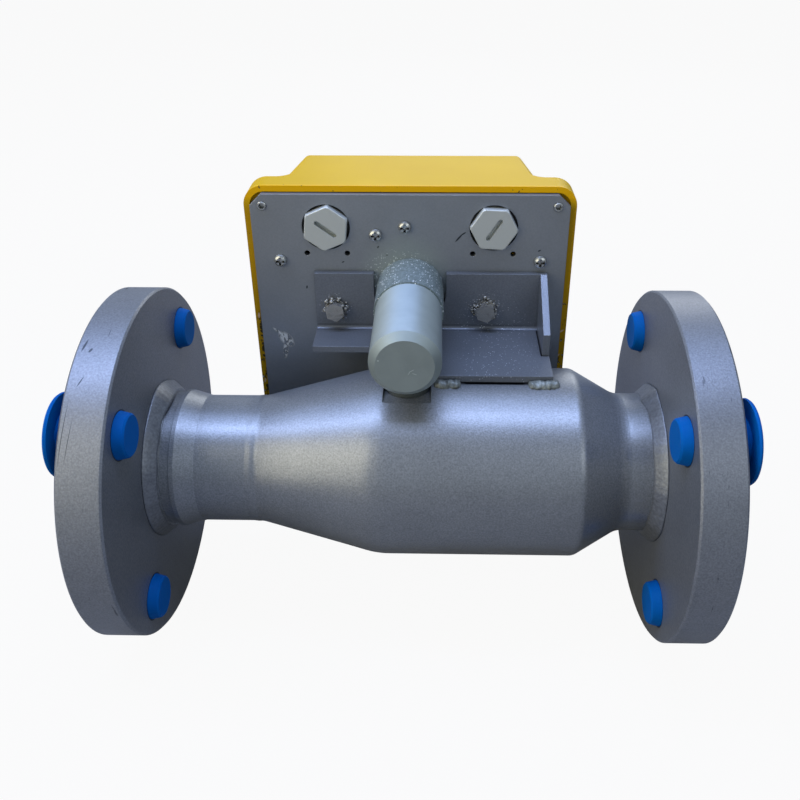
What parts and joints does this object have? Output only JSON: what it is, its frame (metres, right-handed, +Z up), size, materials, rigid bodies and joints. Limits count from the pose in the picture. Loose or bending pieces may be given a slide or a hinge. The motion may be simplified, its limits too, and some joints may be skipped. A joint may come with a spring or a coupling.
{
  "type": "flow meter",
  "caption": "Flanged in-line flow meter: a sprung target disc in the pipe turns a magnetic coupling, a geared movement and a pointer behind a window in a boxed hood.",
  "frame": {"origin": "centre of the inlet flange's raised face, on the pipe's axis", "axes": "+X along the pipe from inlet to outlet, +Y from the pipe to the dial side, +Z up"},
  "size_m": [0.2614, 0.1682, 0.1882],
  "materials": {
    "silver_paint": "fine textured metallic paint",
    "housing_steel": "satin turned",
    "rough_can": "rough glittering coat",
    "hood_paint": "golden yellow gloss powder coat",
    "stainless": "plain turned",
    "bright_zinc": "bright zinc plate",
    "plug_metal": "dull nickel-like plate",
    "brass": "machined",
    "bearing_carbon": "pressed carbon",
    "magnet_black": "dark sintered",
    "black_rubber": "moulded",
    "window_clear": "clear flat glass",
    "dial_white": "white printed sheet",
    "pointer_black": "matt black paint",
    "blue_polythene": "moulded soft blue polythene"
  },
  "bodies": {
    "meter": {"inlet_flange": "silver_paint", "outlet_flange": "silver_paint", "inlet_weld": "silver_paint", "outlet_weld": "silver_paint", "inlet_tube": "silver_paint", "seam_weld": "silver_paint", "meter_body": "silver_paint", "housing_stub": "silver_paint", "bracket": "silver_paint", "bracket_welds": "silver_paint", "back_plate": "silver_paint", "shaft_housing": "housing_steel", "coupling_can": "rough_can", "hood": "hood_paint", "seat_ring": "stainless", "return_spring": "stainless", "bracket_bolts": "bright_zinc", "bracket_washers": "bright_zinc", "bracket_nuts": "bright_zinc", "plate_screws": "bright_zinc", "corner_screws": "bright_zinc", "retainer_screws": "bright_zinc", "dial_screws": "bright_zinc", "window_retainer": "bright_zinc", "hex_plugs": "plug_metal", "entry_bushes": "plug_metal", "movement_bushes": "brass", "rear_movement_plate": "brass", "front_movement_plate": "brass", "movement_posts": "brass", "shaft_bushes": "bearing_carbon", "can_seal": "black_rubber", "hood_gasket": "black_rubber", "window_seal": "black_rubber", "entry_seals": "black_rubber", "window_glass": "window_clear", "dial_plate": "dial_white", "inlet_hole_plugs": "blue_polythene", "outlet_hole_plugs": "blue_polythene"},
    "flap": {"flap_shaft": "stainless", "flap_lever": "stainless", "target_disc": "stainless", "disc_screw": "stainless", "drive_magnet": "magnet_black"},
    "follower": {"follower_spindle": "stainless", "follower_magnet": "magnet_black", "sector_gear": "brass"},
    "pointer": {"pointer_spindle": "stainless", "pointer": "pointer_black"}
  },
  "joints": [
    {"name": "flap_swing", "type": "hinge", "parent": "meter", "child": "flap", "pos_m": [0.1278, 0, 0.0638], "axis": [0, -1, 0], "range_deg": [0, 18], "stiffness_Nm_per_rad": 0.06, "springref_deg": -20.05},
    {"name": "follower_turn", "type": "hinge", "parent": "meter", "child": "follower", "pos_m": [0.1278, 0.06, 0.0638], "axis": [0, -1, 0], "range_deg": [0, 18]},
    {"name": "pointer_turn", "type": "hinge", "parent": "meter", "child": "pointer", "pos_m": [0.1278, 0.07, 0.0386], "axis": [0, -1, 0], "range_deg": [-90, 0]}
  ],
  "couplings": [
    {"joint": "follower_turn", "follows": "flap_swing", "ratio": 1},
    {"joint": "pointer_turn", "follows": "flap_swing", "ratio": -5}
  ]
}
